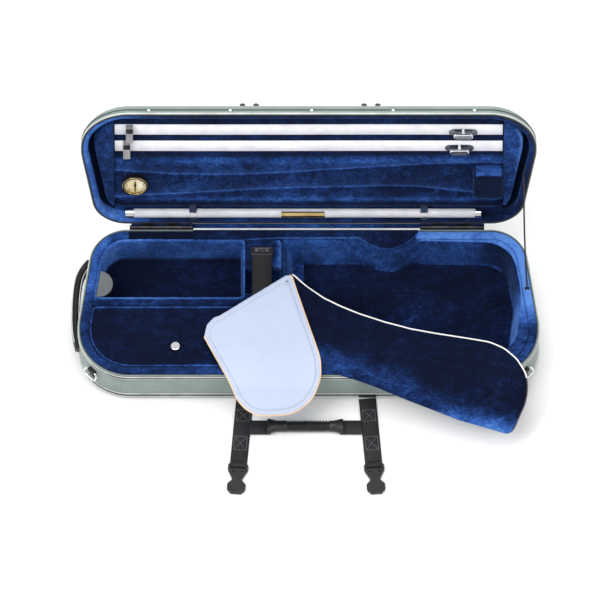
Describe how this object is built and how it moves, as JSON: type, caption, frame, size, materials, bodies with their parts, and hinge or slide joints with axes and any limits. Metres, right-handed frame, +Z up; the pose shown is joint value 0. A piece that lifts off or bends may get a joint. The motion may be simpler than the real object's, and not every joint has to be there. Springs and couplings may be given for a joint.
{
  "type": "violin case",
  "caption": "Oblong violin case with a hinged lid, velvet-lined violin pocket, accessory compartments, bow holders, string tube, folded blanket and a carrying strap with side-release buckles.",
  "frame": {"origin": "centre of the base's bottom face, on the surface it stands on", "axes": "+X to the right along the case, +Y towards the hinge at the back, +Z up"},
  "size_m": [0.8151, 0.5969, 0.3626],
  "materials": {
    "canvas": "woven",
    "dark_canvas": "woven",
    "silver_piping": "satin",
    "dark_binding": "matt",
    "velvet": "pile",
    "blanket_cloth": "satin",
    "webbing": "woven",
    "rubber_grip": "ribbed",
    "black_plastic": "matt",
    "chrome": "polished",
    "steel": "brushed",
    "hinge_black": "satin",
    "brass": "polished",
    "dial": "printed",
    "glass": "clear",
    "clear_tube": "clear",
    "bow_guard": "satin",
    "ribbon": "woven",
    "grey_felt": "felt",
    "stay_cord": "braided",
    "seal": "matt"
  },
  "bodies": {
    "base": {"base_shell": "canvas", "base_bottom_cover": "dark_canvas", "base_rim_liner": "velvet", "base_piping": "silver_piping", "base_binding": "dark_binding", "rear_tray": "velvet", "front_tray": "velvet", "divider": "velvet", "end_tab": "grey_felt", "neck_cradle": "velvet", "cradle_plate": "steel", "cradle_rivets": "chrome", "pocket_block": "velvet", "bout_pad": "velvet", "hinge_base_leaves": "hinge_black", "hinge_pins": "steel", "hinge_strip": "silver_piping", "strap_roots": "webbing", "side_handle": "webbing", "d_ring_tabs": "webbing", "lid_stay_cord": "stay_cord", "stay_anchor_base": "black_plastic"},
    "lid": {"lid_shell": "canvas", "lid_piping": "silver_piping", "lid_seal": "seal", "lid_rim_liner": "velvet", "lid_panel": "velvet", "lid_end_pads": "velvet", "bow_guards": "bow_guard", "bow_tip_loops": "ribbon", "bow_catch_plates": "chrome", "pillow_box": "velvet", "hygrometer_case": "black_plastic", "hygrometer_bezel": "brass", "hygrometer_dial": "dial", "hygrometer_glass": "glass", "lid_studs": "chrome", "tube_clips": "steel", "buckle_sockets": "black_plastic", "hinge_lid_leaves": "hinge_black"},
    "bow_catch_upper": {"bow_catch_upper": "chrome"},
    "bow_catch_lower": {"bow_catch_lower": "chrome"},
    "hygrometer_needle": {"hygrometer_needle": "black_plastic"},
    "string_tube": {"string_tube": "clear_tube", "tube_plug": "chrome"},
    "tube_cap": {"tube_cap": "chrome"},
    "compartment_lid": {"compartment_lid": "velvet", "lid_knob": "chrome"},
    "neck_strap": {"neck_strap": "webbing"},
    "carry_handle": {"carry_straps": "webbing", "grip_tabs": "webbing", "carry_grip": "rubber_grip"},
    "buckle_left": {"buckle_plug_left": "black_plastic"},
    "buckle_right": {"buckle_plug_right": "black_plastic"},
    "d_ring_left": {"d_ring_left": "chrome"},
    "d_ring_right": {"d_ring_right": "chrome"},
    "blanket": {"blanket": "blanket_cloth"}
  },
  "joints": [
    {"name": "lid_hinge", "type": "hinge", "parent": "base", "child": "lid", "pos_m": [0, 0.1465, 0.08875], "axis": [-1, 0, 0], "range_deg": [-106, 0], "deforming": ["blanket", "lid_stay_cord"]},
    {"name": "bow_catch_upper_turn", "type": "hinge", "parent": "lid", "child": "bow_catch_upper", "pos_m": [0.268, 0.21823, 0.29809], "axis": [0, -0.9613, 0.2756], "range_deg": [0, 90]},
    {"name": "bow_catch_lower_turn", "type": "hinge", "parent": "lid", "child": "bow_catch_lower", "pos_m": [0.2616, 0.20731, 0.26002], "axis": [0, -0.9613, 0.2756], "range_deg": [0, 90]},
    {"name": "hygrometer_needle_turn", "type": "hinge", "parent": "lid", "child": "hygrometer_needle", "pos_m": [-0.302, 0.18295, 0.17505], "axis": [0, -0.9613, 0.2756], "range_deg": [-120, 120]},
    {"name": "string_tube_slide", "type": "slide", "parent": "lid", "child": "string_tube", "axis": [0, -0.9613, 0.2756], "range_m": [0, 0.04]},
    {"name": "tube_cap_slide", "type": "slide", "parent": "string_tube", "child": "tube_cap", "axis": [-1, 0, 0], "range_m": [0, 0.008]},
    {"name": "compartment_lid_hinge", "type": "hinge", "parent": "base", "child": "compartment_lid", "pos_m": [-0.24, -0.0046, 0.086], "axis": [-1, 0, 0], "range_deg": [0, 100]},
    {"name": "neck_strap_hinge", "type": "hinge", "parent": "base", "child": "neck_strap", "pos_m": [-0.0815, 0.0932, 0.0876], "axis": [-1, 0, 0], "range_deg": [0, 95]},
    {"name": "carry_strap_hinge", "type": "hinge", "parent": "base", "child": "carry_handle", "pos_m": [-0.0045, -0.1447, 0.0014], "axis": [1, 0, 0], "range_deg": [-70, 0]},
    {"name": "buckle_left_hinge", "type": "hinge", "parent": "carry_handle", "child": "buckle_left", "pos_m": [-0.12196, -0.27223, 0.0026], "axis": [0.9963, -0.0856, 0], "range_deg": [-75, 0]},
    {"name": "buckle_right_hinge", "type": "hinge", "parent": "carry_handle", "child": "buckle_right", "pos_m": [0.11296, -0.27223, 0.0026], "axis": [0.9963, 0.0856, 0], "range_deg": [-75, 0]},
    {"name": "blanket_lift", "type": "slide", "parent": "base", "child": "blanket", "axis": [0, 0, 1], "range_m": [0, 0.15]},
    {"name": "d_ring_left_swing", "type": "hinge", "parent": "base", "child": "d_ring_left", "pos_m": [-0.37729, -0.11969, 0.06], "axis": [0.7071, -0.7071, 0], "range_deg": [-150, 0]},
    {"name": "d_ring_right_swing", "type": "hinge", "parent": "base", "child": "d_ring_right", "pos_m": [0.37729, -0.11969, 0.06], "axis": [0.7071, 0.7071, 0], "range_deg": [-150, 0]}
  ]
}
